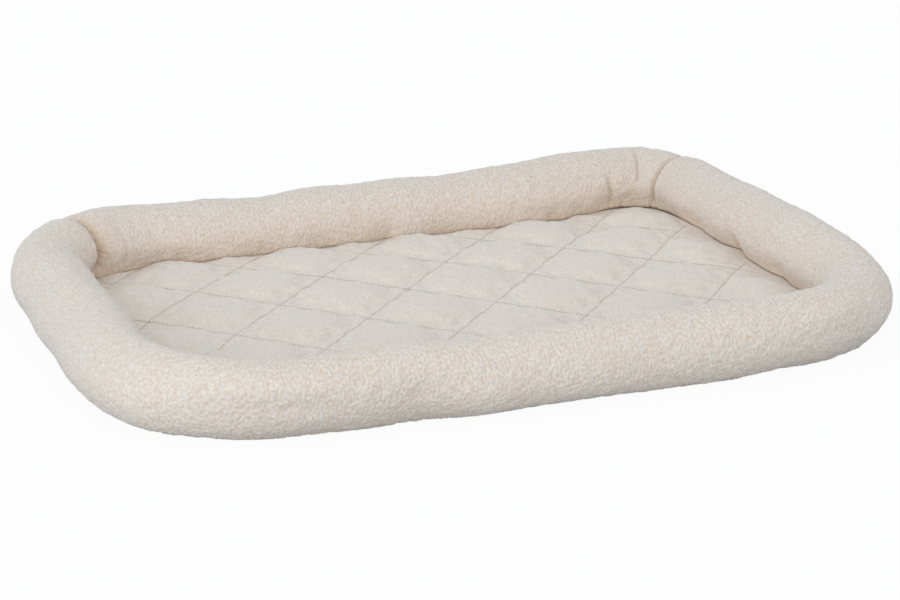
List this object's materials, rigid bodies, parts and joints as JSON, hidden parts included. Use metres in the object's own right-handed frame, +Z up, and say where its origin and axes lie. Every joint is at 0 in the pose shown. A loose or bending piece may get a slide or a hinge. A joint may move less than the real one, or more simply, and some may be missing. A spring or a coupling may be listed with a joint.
{
  "type": "pet cushion bed",
  "caption": "Low rectangular pet bed: a diamond-quilted fleece pad with round corners and a stuffed fleece roll sewn all round its edge.",
  "frame": {"origin": "middle of the footprint, on the surface that the bed lies on", "axes": "+X along the length, +Y towards the long side that stands against a wall, +Z up; the joint between the bolster strip's ends is at the +X +Y corner"},
  "size_m": [0.74, 0.545, 0.065],
  "materials": {
    "sherpa_fleece": "cream curled-pile fleece, matt",
    "pad_fleece": "cream short-pile fleece, matt",
    "polyester_fibre": "loose white fibre",
    "woven_backing": "plain-woven polyester, matt",
    "sewing_thread": "twisted polyester thread, slight sheen"
  },
  "bodies": {
    "root": {"bolster_cover": "sherpa_fleece", "bolster_fill": "polyester_fibre", "edge_seam_bobbin_thread": "sewing_thread", "edge_seam_needle_thread": "sewing_thread", "end_joint_thread": "sewing_thread", "falling_row_1_bobbin_thread": "sewing_thread", "falling_row_1_needle_thread": "sewing_thread", "falling_row_2_bobbin_thread": "sewing_thread", "falling_row_2_needle_thread": "sewing_thread", "falling_row_3_bobbin_thread": "sewing_thread", "falling_row_3_needle_thread": "sewing_thread", "falling_row_4_bobbin_thread": "sewing_thread", "falling_row_4_needle_thread": "sewing_thread", "falling_row_5_bobbin_thread": "sewing_thread", "falling_row_5_needle_thread": "sewing_thread", "falling_row_6_bobbin_thread": "sewing_thread", "falling_row_6_needle_thread": "sewing_thread", "falling_row_7_bobbin_thread": "sewing_thread", "falling_row_7_needle_thread": "sewing_thread", "pad_batting": "polyester_fibre", "pad_bottom_panel": "woven_backing", "pad_top_panel": "pad_fleece", "rising_row_1_bobbin_thread": "sewing_thread", "rising_row_1_needle_thread": "sewing_thread", "rising_row_2_bobbin_thread": "sewing_thread", "rising_row_2_needle_thread": "sewing_thread", "rising_row_3_bobbin_thread": "sewing_thread", "rising_row_3_needle_thread": "sewing_thread", "rising_row_4_bobbin_thread": "sewing_thread", "rising_row_4_needle_thread": "sewing_thread", "rising_row_5_bobbin_thread": "sewing_thread", "rising_row_5_needle_thread": "sewing_thread", "rising_row_6_bobbin_thread": "sewing_thread", "rising_row_6_needle_thread": "sewing_thread", "rising_row_7_bobbin_thread": "sewing_thread", "rising_row_7_needle_thread": "sewing_thread", "rising_row_8_bobbin_thread": "sewing_thread", "rising_row_8_needle_thread": "sewing_thread"}
  },
  "joints": []
}
